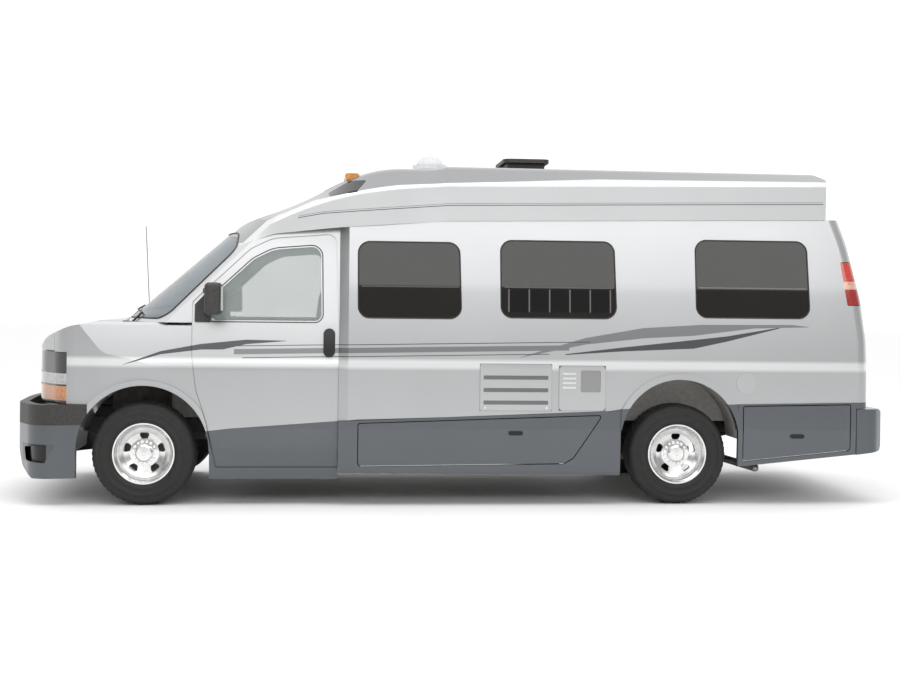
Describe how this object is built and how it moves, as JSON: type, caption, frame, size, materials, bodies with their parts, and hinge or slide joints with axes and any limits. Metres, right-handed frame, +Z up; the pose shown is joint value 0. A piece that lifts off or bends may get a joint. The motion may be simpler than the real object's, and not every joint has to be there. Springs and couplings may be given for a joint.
{
  "type": "camper van",
  "caption": "Long-wheelbase camper van with a raised roof, widened living body, side entry door and twin rear doors.",
  "frame": {"origin": "centre of the bounding box on the ground", "axes": "X along the van with the front toward -X, Y across it with the driver side toward -Y, Z up"},
  "size_m": [6.5368, 2.49, 2.684],
  "materials": {
    "cabinet_wood": "veneered board",
    "cast": "bare casting",
    "dark_trim": "grained dark plastic",
    "frame_steel": "black chassis paint",
    "glass_dark": "dark tinted glass",
    "glass_light": "lightly tinted glass",
    "interior_trim": "moulded interior trim",
    "lamp_clear": "clear and amber lens",
    "lamp_red": "red lens",
    "mouldings": "satin grey and bright mouldings",
    "pipe_steel": "plain steel",
    "rim_metal": "polished wheel",
    "seat_fabric": "woven seat cloth",
    "silver_paint": "metallic silver paint",
    "slate_paint": "slate grey paint",
    "tyre_rubber": "black rubber",
    "white_gel": "gelcoat"
  },
  "bodies": {
    "body": {"antenna": "pipe_steel", "cab_shell": "silver_paint", "cabinet": "cabinet_wood", "chassis_frame": "frame_steel", "clearance_lamps": "lamp_clear", "cowl": "dark_trim", "dashboard": "interior_trim", "engine": "cast", "exhaust": "pipe_steel", "fenders": "silver_paint", "floor": "interior_trim", "front_bumper": "dark_trim", "front_suspension": "frame_steel", "front_valance": "slate_paint", "grille": "mouldings", "headlamps": "lamp_clear", "house_glass": "glass_dark", "house_left": "silver_paint", "house_right": "silver_paint", "rear_axle": "frame_steel", "rear_bench": "seat_fabric", "rear_bumper": "slate_paint", "rear_frame": "silver_paint", "roof_cap": "white_gel", "seat_bases": "interior_trim", "seat_cushions": "seat_fabric", "skirts": "slate_paint", "storage_bins": "frame_steel", "tail_lamps": "lamp_red", "vent_dome": "lamp_clear", "vent_hatch": "dark_trim", "wall_panels": "white_gel", "windshield": "glass_light"},
    "front_door_left": {"front_door_left": "silver_paint", "front_door_glass_left": "glass_light", "mirror_left": "dark_trim"},
    "front_door_right": {"front_door_right": "silver_paint", "front_door_glass_right": "glass_light", "mirror_right": "dark_trim"},
    "entry_door": {"entry_door": "silver_paint", "entry_glass": "glass_dark"},
    "rear_door_left": {"rear_door_left": "silver_paint", "rear_door_glass_left": "glass_dark"},
    "rear_door_right": {"rear_door_right": "silver_paint", "rear_door_glass_right": "glass_dark"},
    "hood": {"hood": "silver_paint"},
    "store_door_middle": {"store_door_middle": "slate_paint"},
    "store_door_rear": {"store_door_rear": "slate_paint"},
    "knuckle_left": {"knuckle_left": "cast"},
    "knuckle_right": {"knuckle_right": "cast"},
    "wheel_front_left": {"tyre_front_left": "tyre_rubber", "rim_front_left": "rim_metal"},
    "wheel_front_right": {"tyre_front_right": "tyre_rubber", "rim_front_right": "rim_metal"},
    "wheel_rear_left": {"tyre_rear_left": "tyre_rubber", "rim_rear_left": "rim_metal"},
    "wheel_rear_right": {"tyre_rear_right": "tyre_rubber", "rim_rear_right": "rim_metal"}
  },
  "joints": [
    {"name": "steer_left", "type": "hinge", "parent": "body", "child": "knuckle_left", "pos_m": [-2.2685, -0.782, 0.373], "axis": [0, 0, 1], "range_deg": [-34, 34]},
    {"name": "steer_right", "type": "hinge", "parent": "body", "child": "knuckle_right", "pos_m": [-2.2685, 0.782, 0.373], "axis": [0, 0, 1], "range_deg": [-34, 34]},
    {"name": "spin_front_left", "type": "hinge", "parent": "knuckle_left", "child": "wheel_front_left", "pos_m": [-2.2685, -0.866, 0.373], "axis": [0, 1, 0], "continuous": true},
    {"name": "spin_front_right", "type": "hinge", "parent": "knuckle_right", "child": "wheel_front_right", "pos_m": [-2.2685, 0.866, 0.373], "axis": [0, 1, 0], "continuous": true},
    {"name": "spin_rear_left", "type": "hinge", "parent": "body", "child": "wheel_rear_left", "pos_m": [1.6685, -0.866, 0.373], "axis": [0, 1, 0], "continuous": true},
    {"name": "spin_rear_right", "type": "hinge", "parent": "body", "child": "wheel_rear_right", "pos_m": [1.6685, 0.866, 0.373], "axis": [0, 1, 0], "continuous": true},
    {"name": "front_door_left_hinge", "type": "hinge", "parent": "body", "child": "front_door_left", "pos_m": [-1.9285, -1.004, 0.9], "axis": [0, 0, -1], "range_deg": [0, 68]},
    {"name": "front_door_right_hinge", "type": "hinge", "parent": "body", "child": "front_door_right", "pos_m": [-1.9285, 1.004, 0.9], "axis": [0, 0, 1], "range_deg": [0, 68]},
    {"name": "entry_door_hinge", "type": "hinge", "parent": "body", "child": "entry_door", "pos_m": [-0.7695, 1.044, 1], "axis": [0, 0, 1], "range_deg": [0, 90]},
    {"name": "rear_door_left_hinge", "type": "hinge", "parent": "body", "child": "rear_door_left", "pos_m": [3.1345, -0.791, 1.2], "axis": [0, 0, -1], "range_deg": [0, 100]},
    {"name": "rear_door_right_hinge", "type": "hinge", "parent": "body", "child": "rear_door_right", "pos_m": [3.1345, 0.791, 1.2], "axis": [0, 0, 1], "range_deg": [0, 100]},
    {"name": "hood_hinge", "type": "hinge", "parent": "body", "child": "hood", "pos_m": [-2.3805, 0, 1.338], "axis": [0, 1, 0], "range_deg": [0, 52]},
    {"name": "store_door_middle_hinge", "type": "hinge", "parent": "body", "child": "store_door_middle", "pos_m": [-0.7205, -1.044, 0.602], "axis": [-0.9994, 0, -0.0356], "range_deg": [0, 80]},
    {"name": "store_door_rear_hinge", "type": "hinge", "parent": "body", "child": "store_door_rear", "pos_m": [2.1565, -1.044, 0.7365], "axis": [-0.9998, 0, -0.0183], "range_deg": [0, 80]}
  ],
  "couplings": [
    {"joint": "steer_right", "follows": "steer_left", "ratio": 1}
  ]
}
